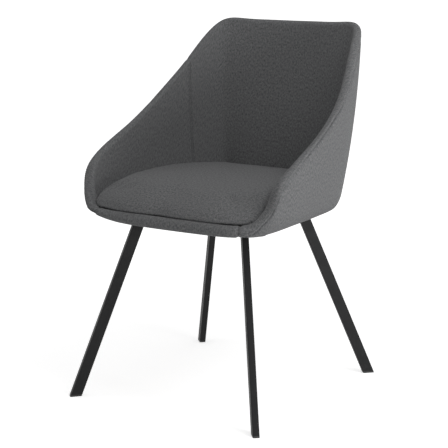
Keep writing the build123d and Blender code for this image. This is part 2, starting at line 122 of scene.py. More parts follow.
def new_group(name, inputs, outputs):
    """A node group with named sockets; returns it, its inputs and the node with its outputs."""
    group = bpy.data.node_groups.new(name, "ShaderNodeTree")
    for direction, sockets in (("INPUT", inputs), ("OUTPUT", outputs)):
        for socket, kind in sockets.items():
            group.interface.new_socket(socket, in_out=direction, socket_type=f"NodeSocket{kind}")
    return group, group.nodes.new("NodeGroupInput").outputs, group.nodes.new("NodeGroupOutput")


def object_place(tree):
    """The place on the object, in metres."""
    return add_node(tree, "ShaderNodeTexCoord").outputs["Object"]


def dress(material, nodes):
    """Give CAD nodes a finish."""
    for node in nodes:
        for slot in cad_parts[node].material_slots:
            slot.material = material


# Small scratches and rubs, which sit on hard finishes: strongest at the floor and fading upwards.
WEAR_SOCKETS = {"Place": "Vector", "Scuffs": "Float"}
handling_wear, wear_in, wear_out = new_group("Handling_wear", WEAR_SOCKETS, {"Worn": "Float"})
stretch = {"Vector": wear_in["Place"], "Scale": (1.0, 1.0, SCUFF_STRETCH)}
stretched = add_node(handling_wear, "ShaderNodeMapping", stretch).outputs[0]
scratches = add_noise(handling_wear, stretched, wear_in["Scuffs"], SCUFF_DETAIL, SCUFF_ROUGHNESS)
scratches = add_range(handling_wear, scratches, SCUFF_RANGE)
height_up = add_node(handling_wear, "ShaderNodeSeparateXYZ", {0: wear_in["Place"]}).outputs["Z"]
near_floor = add_range(handling_wear, height_up, (WEAR_HEIGHT, 0.0), (WEAR_ABOVE, 1.0))
worn = add_math(handling_wear, "MULTIPLY", scratches, near_floor)
set_inputs(handling_wear, wear_out, {"Worn": worn})

black_coat, tree, shader = new_finish("Black_powder_coat")
place = object_place(tree)
wear = {"Place": place, "Scuffs": SCUFFS}
worn = add_node(tree, "ShaderNodeGroup", wear, node_tree=handling_wear).outputs["Worn"]
set_inputs(tree, shader, {
    "Base Color": add_blend(tree, worn, BLACK_COAT, BLACK_COAT_WORN),
    "Roughness": add_range(tree, add_noise(tree, place, COAT_TONE), NOISE_RANGE, COAT_ROUGHNESS),
    "Normal": add_bump(tree, add_noise(tree, place, COAT_PEEL, detail=1.0), COAT_BUMP),
    "Specular IOR Level": COAT_GLOSS,
})
dress(black_coat, STEEL_NODES)

# Foot plugs.
# Moulded black plastic plugs, pushed into the open ends of the legs, with a dull, finely grained
# cap that the floor rubs pale.
PLUG_BLACK = (0.012, 0.012, 0.012, 1.0)
PLUG_WORN = (0.06, 0.058, 0.055, 1.0)
PLUG_GRAIN = 1600.0
PLUG_BUMP = (0.3, 0.0002)
PLUG_ROUGHNESS = (0.5, 0.75)  # from clean to worn
PLUG_SCUFFS = 2 * SCUFFS
PLUG_NODES = [f"foot_plug_{end}_{side}" for end in ("front", "rear") for side in ("left", "right")]

plug_plastic, tree, shader = new_finish("Plug_plastic")
place = object_place(tree)
wear = {"Place": place, "Scuffs": PLUG_SCUFFS}
worn = add_node(tree, "ShaderNodeGroup", wear, node_tree=handling_wear).outputs["Worn"]
set_inputs(tree, shader, {
    "Base Color": add_blend(tree, worn, PLUG_BLACK, PLUG_WORN),
    "Roughness": add_range(tree, worn, (0.0, 1.0), PLUG_ROUGHNESS),
    "Normal": add_bump(tree, add_noise(tree, place, PLUG_GRAIN, detail=1.0), PLUG_BUMP),
})
dress(plug_plastic, PLUG_NODES)

# Bolts, washers, nuts, screws and staples.
# Zinc-plated steel: bright grey with a cloudy plating and fine turning marks.
ZINC = (0.56, 0.57, 0.58, 1.0)
ZINC_DULL = (0.36, 0.37, 0.39, 1.0)
ZINC_CLOUDS = 180.0
ZINC_MARKS = 2500.0
ZINC_BUMP = (0.15, 0.0001)
ZINC_ROUGHNESS = (0.28, 0.46)
ZINC_NODES = ["base_bolts", "base_washers", "tee_nuts", "shell_screws", "pad_screws"]

zinc, tree, shader = new_finish("Zinc_plating")
place = object_place(tree)
clouds = add_noise(tree, place, ZINC_CLOUDS)
set_inputs(tree, shader, {
    "Base Color": add_blend(tree, clouds, ZINC, ZINC_DULL),
    "Roughness": add_range(tree, clouds, NOISE_RANGE, ZINC_ROUGHNESS),
    "Normal": add_bump(tree, add_noise(tree, place, ZINC_MARKS, detail=1.0), ZINC_BUMP),
    "Metallic": 1.0,
})
dress(zinc, ZINC_NODES)

# Boards and moulded shell.
# Plywood: long-grained faces, and edges that show the plies as light and dark lines. The shell and
# the rail are bare birch. The two boards under the pad are coloured near black as painted shade,
# so that the gap under the pad's front shows as a dark shadow line.
BIRCH, BIRCH_DARK = (0.62, 0.47, 0.31, 1.0), (0.40, 0.27, 0.16, 1.0)
# Painted shade: near black, so that the gap under the pad's front shows as a dark shadow line.
SHADE_PLY, SHADE_PLY_DARK = (0.045, 0.040, 0.036, 1.0), (0.020, 0.018, 0.016, 1.0)
PLY_THICKNESS = 0.0013
PLY_EDGES = (0.25 * PLY_THICKNESS, 0.75 * PLY_THICKNESS)  # where one ply shades into the next
PLY_SHADE, GRAIN_SHADE = 0.35, 0.65
PLY_ROUGHNESS = (0.5, 0.68)
GRAIN_LENGTH, GRAIN_WIDTH = 0.12, 0.004
GRAIN_RANGE = (0.3, 0.75)
GRAIN_BUMP = (0.2, 0.0002)
PLYWOODS = (
    ("Birch_plywood", BIRCH, BIRCH_DARK, ["front_rail", "moulded_shell"]),
    ("Painted_shade_plywood", SHADE_PLY, SHADE_PLY_DARK, ["seat_base_board", "pad_board"]),
)

for name, pale, dark, nodes in PLYWOODS:
    plywood, tree, shader = new_finish(name)
    place = object_place(tree)
    stretch = {"Vector": place, "Scale": (1 / GRAIN_WIDTH, 1 / GRAIN_LENGTH, 1 / GRAIN_WIDTH)}
    along_grain = add_node(tree, "ShaderNodeMapping", stretch).outputs[0]
    grain = add_noise(tree, along_grain, 1.0, detail=5.0)
    height_up = add_node(tree, "ShaderNodeSeparateXYZ", {0: place}).outputs["Z"]
    plies = add_math(tree, "PINGPONG", height_up, PLY_THICKNESS)
    plies = add_range(tree, plies, PLY_EDGES, (0.0, PLY_SHADE))
    shades = add_range(tree, grain, GRAIN_RANGE, (0.0, GRAIN_SHADE))
    set_inputs(tree, shader, {
        "Base Color": add_blend(tree, add_math(tree, "ADD", plies, shades), pale, dark),
        "Roughness": add_range(tree, grain, NOISE_RANGE, PLY_ROUGHNESS),
        "Normal": add_bump(tree, grain, GRAIN_BUMP),
    })
    dress(plywood, nodes)

# Cloth under the seat.
# A thin black non-woven sheet, stapled under the base board, with a pressed point pattern.
DUST_BLACK = (0.016, 0.016, 0.017, 1.0)
DUST_FIBRE = (0.04, 0.04, 0.042, 1.0)
DUST_POINTS = 600.0
DUST_FIBRES = 900.0
DUST_BUMP = (0.4, 0.0003)
DUST_ROUGHNESS = (0.75, 0.95)

dust_cloth, tree, shader = new_finish("Dust_cloth")
place = object_place(tree)
fibres = add_noise(tree, place, DUST_FIBRES, detail=4.0)
pressed = {"Vector": place, "Scale": DUST_POINTS}
points = add_node(tree, "ShaderNodeTexVoronoi", pressed).outputs["Distance"]
set_inputs(tree, shader, {
    "Base Color": add_blend(tree, fibres, DUST_BLACK, DUST_FIBRE),
    "Roughness": add_range(tree, fibres, NOISE_RANGE, DUST_ROUGHNESS),
    "Normal": add_bump(tree, points, DUST_BUMP),
})
dress(dust_cloth, ["dust_cover"])

# Outside cover.
# One piece of charcoal felted cloth, stretched over the padded shell from the front corners round
# the back, stapled under the seat and sewn to the lining along the outer edge of the rim.
HALF_WIDTH = 0.248
FRONT, BACK = -0.262, 0.280
UNDERSIDE, BAND_TOP, BACK_TOP = 0.415, 0.441, 0.835
WALL_HALF = 0.014  # half the padded wall's thickness at its foot and along the front
RIM_RADIUS = 0.0105  # half its thickness along the wings and the back
RIM_THINS = (4, 8)  # rows of the rim between which it thins
INNER_RADIUS = 0.150  # least radius of the inner face
CORNER_FILL = 0.013  # padding that rounds the inside of the back corners, halfway up
BACK_CORNER, CORNER_SPREAD = 14, 1.2  # row of the rim there, and how many rows that spreads over
TUCK_SIDE, TUCK_BACK = 0.046, 0.030  # radius that turns the face under the seat
TUCK_SHARE = 0.65  # of the face's height, which that radius doesn't pass
HEM = 0.018  # flat under the seat
SEAT_LEVEL = 0.4406  # down to which the inner face goes
BAND_TAIL = 0.006  # how far it goes down behind the front band
LEAN_RIM_SIDE, LEAN_RIM_BACK = math.radians(-3), math.radians(4)
LEAN_FOOT_SIDE, LEAN_FOOT_BACK = math.radians(15.5), math.radians(11)
LEAN_FOOT_CORNER = math.radians(33)
BACK_HEADING = 0.25  # sine of the heading from which the foot has its shape at the back
LIFT_RIGHT, LIFT_LEFT = 0.003, 0.017  # how far the cloth is drawn up under the front corners
LIFT_FRONT, LIFT_SIDE = 0.070, 0.036  # how far along the rim that reaches from a corner
CLOTH = 0.003  # cover with the wadding that clings to it
GRID_STEP = 0.005  # along the rim
SEAM_STEPS = np.array([0.0, 0.0012, 0.0025, 0.004, 0.0058, 0.008, 0.011])  # finer rows by a seam
SEAM_ZONE = 0.016  # width of those finer rows
SEAM_DEPTH, SEAM_WIDTH = 0.0028, 0.0034
SEAM_TURN = 0.247  # along the rim, where the seam starts to fall towards the corner
SEAM_ROWS = (0, 4.7, 6, 7, 8, 9, 10, 11, 11.5, 12.5, 17)  # rows of the rim
SEAM_OVER = np.array((-4, -4, -4, -1, 5, 9, 9, 3, -3, -12, -12)) / 1000  # over its shoulder, there
PUCKER_DEPTH, PUCKER_WIDTH, PUCKER_LENGTH = 0.0003, 0.010, 0.011
CHARCOAL_DARK = (0.075, 0.076, 0.078, 1.0)
CHARCOAL_LIGHT = (0.185, 0.187, 0.190, 1.0)
YARN = 0.0013  # from one thread to the next
FRONT_SEAM, CORNER, INSIDE_SEAM = 2, 3, 12  # rows of the rim at its seams and at the front corner
MIRRORED_ROWS = 4  # repeated beyond the chair's middle plane
OUTSIDE_ROWS = 68  # even rows across the cover
UP = np.array([0, 0, 1.0])

# The wall's middle line at the rim, from the middle of the front band to the middle of the back:
# headings of the outer and of the inner face's cut in degrees, then shares of the half width, of
# the depth and of the rise.
RIM_LINE = np.array([
    (-90, -90, 0.000, 0.000, 0.000),
    (-90, -90, 0.484, 0.004, 0.000),
    (-82, -82, 0.746, 0.018, 0.003),
    (-60, -60, 0.851, 0.042, 0.023),
    (-45, -45, 0.895, 0.057, 0.055),
    (-28, -28, 0.940, 0.074, 0.099),
    (-12, -12, 0.980, 0.105, 0.203),
    (-4, -4, 0.996, 0.168, 0.271),
    (0, 0, 1.000, 0.290, 0.349),
    (2, 5, 0.996, 0.406, 0.418),
    (6, 13, 0.980, 0.539, 0.516),
    (13, 23, 0.944, 0.655, 0.625),
    (21, 34, 0.879, 0.769, 0.762),
    (34, 47, 0.810, 0.880, 0.914),
    (53, 61, 0.702, 0.963, 0.998),
    (75, 75, 0.524, 0.983, 1.000),
    (90, 86, 0.242, 0.996, 0.996),
    (90, 90, 0.000, 1.000, 0.995),
])


def spline(knots, values, at):
    """Natural cubic spline: curvatures m solve h0 m0 + 2 (h0 + h1) m1 + h1 m2 = 6 (change of
    slope), and bend the line between two knots by (l^3 - l) m0 h^2 / 6 + (r^3 - r) m1 h^2 / 6."""
    steps = np.diff(knots)
    slopes = np.diff(values, axis=0) / steps[:, None]
    system = np.eye(len(knots))
    inner = np.arange(1, len(knots) - 1)
    system[inner, inner - 1] = steps[:-1]
    system[inner, inner] = 2 * (steps[:-1] + steps[1:])
    system[inner, inner + 1] = steps[1:]
    bends = np.zeros_like(values)
    bends[1:-1] = 6 * np.diff(slopes, axis=0)
    curvature = np.linalg.solve(system, bends)
    k = np.clip(np.searchsorted(knots, at) - 1, 0, len(steps) - 1)
    step = steps[k][:, None]
    right = (at - knots[k])[:, None] / step
    left = 1 - right
    straight = left * values[k] + right * values[k + 1]
    bend = (left**3 - left) * curvature[k] + (right**3 - right) * curvature[k + 1]
    return straight + bend * step**2 / 6


def lengths(line):
    """How far each place lies along a line."""
    return np.concatenate([[0], np.cumsum(np.linalg.norm(np.diff(line, axis=0), axis=1))])


def mirrored_ends(rows, turns):
    """Knots and rows with the first and last rows repeated beyond the chair's middle plane, so that
    a spline crosses it level. The first column is x, and the last ones, as many as turns, are
    headings."""
    length = lengths(rows[:, :3])
    mirror = np.ones(rows.shape[1])
    mirror[0] = -1
    turned = np.arange(rows.shape[1]) >= rows.shape[1] - turns
    first, last = slice(MIRRORED_ROWS, 0, -1), slice(-2, -2 - MIRRORED_ROWS, -1)
    front = np.where(turned, -math.pi - rows[first], rows[first] * mirror)
    back = np.where(turned, math.pi - rows[last], rows[last] * mirror)
    knots = np.concatenate([-length[first], length, 2 * length[-1] - length[last]])
    return knots, np.concatenate([front, rows, back]), length


rim_rows = np.stack([
    RIM_LINE[:, 2] * HALF_WIDTH,
    FRONT + RIM_LINE[:, 3] * (BACK - FRONT),
    BAND_TOP + RIM_LINE[:, 4] * (BACK_TOP - BAND_TOP),
    np.radians(RIM_LINE[:, 0]),
    np.radians(RIM_LINE[:, 1]),
], axis=1)
rim_knots, rim_rows, rim_at = mirrored_ends(rim_rows, turns=2)
RIM_HALF = rim_at[-1]


def from_centre(centre, distance, lean):
    """A place in the cut, as distances outwards and up, off a centre along a normal that leans
    down: out + distance cos(lean) and up - distance sin(lean)."""
    return centre[0] + distance * np.cos(lean), centre[1] - distance * np.sin(lean)


def wall_cut(along):
    """Upright cuts across the wall at lengths along the rim, from 0 at the front middle, round the
    right side and the back, to the front middle again. Each cut is a hem, a tuck, a face, a rim and
    an inner face: arcs tangent to one another, set by the leans of the face at its foot and at the
    rim. The inner face has the radius (a^2 + b^2) / 2b that takes it from the rim to its foot, a
    down and b inwards. The seam runs near the rim's shoulder and falls under the shell at the front
    corners."""
    folded = RIM_HALF - abs(RIM_HALF - abs(along))
    side = np.where((along < 0) | (along > RIM_HALF), -1.0, 1.0)
    line = spline(rim_knots, rim_rows, folded)
    x, y, top, turn, inner_turn = (column[:, None] for column in line.T)
    row = np.interp(folded, rim_at, np.arange(len(rim_at)))
    toward_back = np.maximum(0, np.sin(turn))
    at_back = np.minimum(1, toward_back / BACK_HEADING)
    at_corner = np.where(turn < 0, np.sin(2 * turn) ** 2, 0)
    from_corner = folded - rim_at[CORNER]
    spread = np.exp(-((from_corner / np.where(from_corner < 0, LIFT_FRONT, LIFT_SIDE)) ** 2))
    fill = CORNER_FILL * np.exp(-(((row - BACK_CORNER) / CORNER_SPREAD) ** 2))
    thinner = np.clip((row - RIM_THINS[0]) / (RIM_THINS[1] - RIM_THINS[0]), 0, 1)[:, None]
    cut = SimpleNamespace(fill=fill[:, None])
    cut.underside = UNDERSIDE + (np.where(side > 0, LIFT_RIGHT, LIFT_LEFT) * spread)[:, None]
    cut.rim_lean = LEAN_RIM_SIDE * np.cos(np.minimum(0, turn))
    cut.rim_lean = cut.rim_lean + toward_back * (LEAN_RIM_BACK - LEAN_RIM_SIDE)
    cut.foot_lean = LEAN_FOOT_SIDE + at_back * (LEAN_FOOT_BACK - LEAN_FOOT_SIDE)
    cut.foot_lean = cut.foot_lean + at_corner * (LEAN_FOOT_CORNER - LEAN_FOOT_SIDE)
    cut.rim_radius = WALL_HALF + (RIM_RADIUS - WALL_HALF) * (3 * thinner**2 - 2 * thinner**3)
    cut.rim_centre = (WALL_HALF - cut.rim_radius, top - cut.rim_radius)
    height = cut.rim_centre[1] - cut.underside
    cut.tuck_radius = np.minimum(TUCK_SIDE + at_back * (TUCK_BACK - TUCK_SIDE), TUCK_SHARE * height)
    foot_sine, rim_sine = np.sin(cut.foot_lean), np.sin(cut.rim_lean)
    rise = height - cut.tuck_radius + cut.tuck_radius * foot_sine - cut.rim_radius * rim_sine
    cut.face_radius = rise / (foot_sine - rim_sine)
    cut.face_centre = from_centre(cut.rim_centre, cut.rim_radius - cut.face_radius, cut.rim_lean)
    cut.tuck_centre = from_centre(cut.face_centre, cut.face_radius - cut.tuck_radius, cut.foot_lean)
    even_radius = np.maximum(cut.face_radius - 2 * WALL_HALF, INNER_RADIUS)
    even_centre = from_centre((0, top - WALL_HALF), -WALL_HALF - even_radius, cut.rim_lean)
    drop = even_centre[1] - np.minimum(SEAT_LEVEL, top - WALL_HALF - BAND_TAIL)
    inner_foot = from_centre(even_centre, even_radius, np.arcsin(drop / even_radius))
    rim_edge = from_centre(cut.rim_centre, -cut.rim_radius, cut.rim_lean)
    aside, up = inner_foot[0] - rim_edge[0], inner_foot[1] - rim_edge[1]
    down = -aside * np.sin(cut.rim_lean) - up * np.cos(cut.rim_lean)
    inwards = -aside * np.cos(cut.rim_lean) + up * np.sin(cut.rim_lean)
    cut.inner_radius = (down**2 + inwards**2) / (2 * inwards)
    cut.inner_centre = from_centre(rim_edge, -cut.inner_radius, cut.rim_lean)
    flat = 0 * x
    cut.foot = np.stack([side[:, None] * x, y, flat], axis=2)
    cut.out, cut.inner_out = (
        np.stack([side[:, None] * np.cos(heading), np.sin(heading), flat], axis=2)
        for heading in (turn, inner_turn)
    )
    cut.tuck_end = HEM + cut.tuck_radius * (math.pi / 2 - cut.foot_lean)
    cut.shoulder = cut.tuck_end + cut.face_radius * (cut.foot_lean - cut.rim_lean)
    cut.crest = cut.shoulder + cut.rim_radius * (math.pi / 2 + cut.rim_lean)
    cut.rim_end = cut.shoulder + math.pi * cut.rim_radius
    cut.end = cut.rim_end + cut.inner_radius * np.arcsin(down / cut.inner_radius)
    fall = np.clip((SEAM_TURN - folded) / (SEAM_TURN - rim_at[FRONT_SEAM]), 0, 1)[:, None] ** 2
    high = cut.shoulder + np.interp(row, SEAM_ROWS, SEAM_OVER)[:, None]
    cut.seam = high - fall * (high - HEM)
    return cut


def wall_place(cut, reach, depth):
    """Places on the wall at lengths across it from the hem's edge, and at depths below its surface:
    along the flat hem, then round the arcs of the tuck, the face, the rim and the inner face. Past
    the crest of the rim, the cut takes the inner face's heading, about the rim's centre."""
    share_down = np.clip((reach - cut.rim_end) / (cut.end - cut.rim_end), 0, 1)
    inner_radius = cut.inner_radius + depth - cut.fill * np.sin(math.pi * share_down)
    arcs = (
        (cut.tuck_centre, cut.tuck_radius - depth, math.pi / 2 - (reach - HEM) / cut.tuck_radius),
        (cut.face_centre, cut.face_radius - depth,
         cut.foot_lean - (reach - cut.tuck_end) / cut.face_radius),
        (cut.rim_centre, cut.rim_radius - depth,
         cut.rim_lean - (reach - cut.shoulder) / cut.rim_radius),
        (cut.inner_centre, inner_radius, cut.rim_lean + (reach - cut.rim_end) / cut.inner_radius),
    )
    hem = (cut.tuck_centre[0] - HEM + reach, cut.underside + depth)
    *runs, inside = [hem] + [from_centre(*arc) for arc in arcs]
    within = [reach <= limit for limit in (HEM, cut.tuck_end, cut.shoulder, cut.rim_end)]
    out, up = (
        np.select(within, [run[axis] for run in runs], inside[axis])[:, :, None] for axis in (0, 1)
    )
    centre = cut.rim_centre[0][:, :, None]
    heading = np.where((reach < cut.crest)[:, :, None], cut.out, cut.inner_out)
    return cut.foot + cut.out * centre + heading * (out - centre) + UP * up


def groove(distance, depth=SEAM_DEPTH, width=SEAM_WIDTH):
    """The dip of the cloth beside a seam: depth exp(-(distance / width)^2)."""
    return depth * np.exp(-((distance / width) ** 2))


def pucker(along, distance):
    """Small even gathers that stitches pull along a seam, 1 + cos along it, fading away from it."""
    gathers = 1 + np.cos(2 * math.pi * along / PUCKER_LENGTH)
    return groove(distance, PUCKER_DEPTH, PUCKER_WIDTH) * gathers


def steps_between(start, end):
    """Even steps, with finer ones at both ends for the seams there."""
    even = np.linspace(start + SEAM_ZONE, end - SEAM_ZONE, int((end - start) / GRID_STEP))
    return np.concatenate([start + SEAM_STEPS, even, end - SEAM_STEPS[::-1]])


def rows_between(start, end, count):
    """The same across the wall, between two borders that vary along it."""
    width = end - start
    scale = np.minimum(1, width / (3 * SEAM_ZONE))
    even = start + SEAM_ZONE * scale + (width - 2 * SEAM_ZONE * scale) * np.linspace(0, 1, count)
    fine = scale * SEAM_STEPS
    return np.concatenate([start + fine, even, end - fine[:, ::-1]], axis=1)


def new_piece(name, places, faces, material):
    """An object at the origin from an array of places and a list of faces, smooth shaded."""
    mesh = bpy.data.meshes.new(name)
    mesh.from_pydata(places.reshape(-1, 3).tolist(), [], faces)
    mesh.shade_smooth()
    mesh.materials.append(material)
    piece = bpy.data.objects.new(name, mesh)
    bpy.context.scene.collection.objects.link(piece)
    return piece


def new_cover(name, cut, along, reach, depth, replaced):
    """A closed cover of one cloth's thickness: a grid over the wall and one below it, with their
    borders joined. Its UV map is in metres. It is padded tight, and stands for its CAD layers."""
    outer, inner = wall_place(cut, reach, depth), wall_place(cut, reach, depth + CLOTH)
    rows, columns = outer.shape[:2]
    grid = np.arange(rows * columns).reshape(rows, columns)
    squares = (grid[:-1, :-1], grid[1:, :-1], grid[1:, 1:], grid[:-1, 1:])
    quads = np.stack(squares, axis=2).reshape(-1, 4)
    border = np.concatenate([grid[:-1, 0], grid[-1, :-1], grid[:0:-1, -1], grid[0, :0:-1]])
    onward = np.roll(border, -1)
    rim = np.stack([onward, border, border + grid.size, onward + grid.size], axis=1)
    faces = np.concatenate([quads, quads[:, ::-1] + grid.size, rim])
    piece = new_piece(name, np.stack([outer, inner]), faces.tolist(), charcoal_cloth)
    cloth = np.stack([np.broadcast_to(along[:, None], reach.shape), reach], axis=2).reshape(-1, 2)
    corners = np.empty(len(piece.data.loops), dtype=np.int32)
    piece.data.loops.foreach_get("vertex_index", corners)
    layer = piece.data.uv_layers.new(name="Cloth")
    layer.uv.foreach_set("vector", np.tile(cloth, (2, 1))[corners].astype(np.float32).ravel())
    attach(piece, "root")
    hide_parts(*replaced)


# Felted plain weave of dark and light fibres. Flecks, mottle and short upright streaks give its
# colour, and the threads crossing over and under give its height: ridges of warp and weft by turns.
STREAKS_ACROSS, STREAKS_ALONG = 380.0, 170.0
MOTTLE, MOTTLE_SHARE = 200.0, 0.8
FLECKS = 900.0
FIBRE_DETAIL, FLECK_DETAIL, FIBRE_ROUGHNESS = 3.0, 2.0, 0.6  # of the three noises
TONE_RANGE = (1.15, 1.65)  # of their sum, from dark to light
UNDER_SHARE = 0.4  # height of a thread where it goes under, 0.5 less than where it goes over
CLOTH_ROUGHNESS = (0.82, 0.96)
CLOTH_BUMP = (0.5, 0.0005)
CLOTH_GLOSS = 0.15
CLOTH_SHEEN, CLOTH_SHEEN_ROUGHNESS = 0.06, 0.5
WEAVE_SOCKETS = {"Colour": "Color", "Height": "Float", "Roughness": "Float"}

charcoal_weave, weave_in, weave_out = new_group(
    "Charcoal_weave", {"Place": "Vector"}, WEAVE_SOCKETS
)
weave_at = weave_in["Place"]
stretch = {"Vector": weave_at, "Scale": (STREAKS_ACROSS, STREAKS_ALONG, STREAKS_ACROSS)}
stretched = add_node(charcoal_weave, "ShaderNodeMapping", stretch).outputs[0]
streaks = add_noise(charcoal_weave, stretched, 1.0, FIBRE_DETAIL, FIBRE_ROUGHNESS)
mottle = add_noise(charcoal_weave, weave_at, MOTTLE, FIBRE_DETAIL, FIBRE_ROUGHNESS)
mottle = add_math(charcoal_weave, "MULTIPLY", mottle, MOTTLE_SHARE)
flecks = add_noise(charcoal_weave, weave_at, FLECKS, FLECK_DETAIL, FIBRE_ROUGHNESS)
blend = add_math(charcoal_weave, "ADD", add_math(charcoal_weave, "ADD", streaks, mottle), flecks)
tone = add_range(charcoal_weave, blend, TONE_RANGE)
threads = add_node(charcoal_weave, "ShaderNodeSeparateXYZ", {0: weave_at}).outputs
ridges = []
for axis, other in (("X", "Y"), ("Y", "X")):
    count = add_math(charcoal_weave, "DIVIDE", threads[axis], YARN)
    cross = add_math(charcoal_weave, "DIVIDE", threads[other], 2 * YARN)
    ridge = add_math(charcoal_weave, "PINGPONG", count, 0.5)
    turn_over = add_math(charcoal_weave, "PINGPONG", cross, 0.5)
    turn_over = add_math(charcoal_weave, "ADD", turn_over, UNDER_SHARE)
    ridges.append(add_math(charcoal_weave, "MULTIPLY", ridge, turn_over))
raised = add_math(charcoal_weave, "MAXIMUM", *ridges)
set_inputs(charcoal_weave, weave_out, {
    "Colour": add_blend(charcoal_weave, tone, CHARCOAL_DARK, CHARCOAL_LIGHT),
    "Height": add_math(charcoal_weave, "ADD", raised, flecks),
    "Roughness": add_range(charcoal_weave, flecks, NOISE_RANGE, CLOTH_ROUGHNESS),
})


def charcoal_finish(name, place_of):
    """Charcoal felted cloth, its weave laid out on places that a function of its tree gives."""
    material, tree, shader = new_finish(name)
    at = {"Place": place_of(tree)}
    weave = add_node(tree, "ShaderNodeGroup", at, node_tree=charcoal_weave).outputs
    set_inputs(tree, shader, {
        "Base Color": weave["Colour"],
        "Roughness": weave["Roughness"],
        "Normal": add_bump(tree, weave["Height"], CLOTH_BUMP),
        "Specular IOR Level": CLOTH_GLOSS,
        "Sheen Weight": CLOTH_SHEEN,
        "Sheen Roughness": CLOTH_SHEEN_ROUGHNESS,
    })
    return material


def cloth_map(tree):
    """The cover's own map, in metres along and across the cloth."""
    return add_node(tree, "ShaderNodeUVMap", uv_map="Cloth").outputs["UV"]


charcoal_cloth = charcoal_finish("Charcoal_cloth", cloth_map)

corner_at, inside_at = rim_at[FRONT_SEAM], rim_at[INSIDE_SEAM]
far_inside, far_corner = 2 * RIM_HALF - inside_at, 2 * RIM_HALF - corner_at
along = steps_between(corner_at, far_corner)
cut = wall_cut(along)
reach = rows_between(0 * cut.seam, cut.seam, OUTSIDE_ROWS)
to_seam = cut.seam - reach
depth = groove(to_seam) + pucker(along[:, None], to_seam)
new_cover("outside_cover_sewn", cut, along, reach, depth, ["outside_cover", "shell_foam"])

# Lining: two wings and the inside back.
# The same cloth over thicker padding, turned over the rim and down to the seat. It is sewn to the
# outside cover with a row of topstitching beside the seam, and the wings to the back with two rows.
TOPSTITCH = 0.008  # from the rim seam
TOPSTITCH_DIP, TOPSTITCH_WIDTH = 0.0007, 0.0018
TWIN_STITCH = 0.004  # each side of the inside seam
INSIDE_SEAM_DEPTH = 0.0012
OVER_RIM_ROWS, DOWN_INSIDE_ROWS = 14, 40


def new_lining(name, start, end, inside_ends, replaced):
    """A panel of lining between two lengths along the rim. Each end is an inside seam, with a
    shallow dip and a twin row of stitches, or a corner seam."""
    along = steps_between(start, end)
    cut = wall_cut(along)
    over_rim = rows_between(cut.seam, cut.rim_end, OVER_RIM_ROWS)
    share_down = np.linspace(0, 1, DOWN_INSIDE_ROWS + 1)[1:]
    down_inside = cut.rim_end + (cut.end - cut.rim_end) * share_down
    reach = np.concatenate([over_rim, down_inside], axis=1)
    from_seam = reach - cut.seam
    depth = groove(from_seam) + pucker(along[:, None], from_seam)
    depth += groove(from_seam - TOPSTITCH, TOPSTITCH_DIP, TOPSTITCH_WIDTH)
    for distance, inside in zip((along - start, end - along), inside_ends):
        dip = groove(distance, INSIDE_SEAM_DEPTH if inside else SEAM_DEPTH)
        dip += inside * groove(distance - TWIN_STITCH, TOPSTITCH_DIP, TOPSTITCH_WIDTH)
        depth = np.maximum(depth, dip[:, None])
    new_cover(name, cut, along, reach, depth, replaced)


new_lining("wing_right_sewn", corner_at, inside_at, (0, 1), ["wing_cover_right"])
new_lining("inside_back_sewn", inside_at, far_inside, (1, 1), ["inside_back_cover"])
new_lining("wing_left_sewn", far_inside, far_corner, (1, 0), ["wing_cover_left"])

# Front band.
# A low padded roll across the front, in one strip of cloth that is sewn to the other covers at both
# front corners, turned over the roll and stapled under the seat.
BAND_ROWS = 34

along = steps_between(-corner_at, corner_at)
cut = wall_cut(along)
reach = rows_between(0 * cut.end, cut.end, BAND_ROWS)
depth = groove(np.minimum(along - along[0], along[-1] - along)[:, None]) + 0 * reach
new_cover("front_band_sewn", cut, along, reach, depth, ["front_band_cover", "front_band_foam"])

# Topstitching.
# Dark grey thread in stitches of 4 mm: one row along the rim beside its seam, and a row on each
# side of both inside seams. Each stitch bows out of the cloth and dives into it at its ends.
THREAD = 0.0005
STITCH_LENGTH, STITCH_PITCH = 0.0040, 0.0052
STITCH_BOW = 0.0004
THREAD_GREY = (0.045, 0.046, 0.048, 1.0)
THREAD_LIGHT = (0.10, 0.10, 0.105, 1.0)
THREAD_TWIST = 1400.0
THREAD_BUMP = (0.4, 0.0002)
THREAD_ROUGHNESS = (0.6, 0.8)
ROD_RINGS = np.array([-0.98, -0.6, 0.0, 0.6, 0.98])  # along a rod, as shares of half its length
ROD_SIDES = 6
ROW_MARGIN, ROW_STEP = 0.006, 0.003  # of the row along the rim: its ends to the corner seams, step
INSIDE_ROW = np.linspace(0.01, 0.97, 120)  # places of the inside rows, as shares of the way down
NORMAL_STEP = 0.001  # between the two places that give a normal

thread_finish, tree, shader = new_finish("Grey_thread")
twist = add_noise(tree, object_place(tree), THREAD_TWIST, detail=2.0)
set_inputs(tree, shader, {
    "Base Color": add_blend(tree, twist, THREAD_GREY, THREAD_LIGHT),
    "Roughness": add_range(tree, twist, NOISE_RANGE, THREAD_ROUGHNESS),
    "Normal": add_bump(tree, twist, THREAD_BUMP),
})


def along_line(at, length, values):
    """Values of a line's places at lengths along it."""
    return np.stack([np.interp(at, length, column) for column in values.T], axis=1)


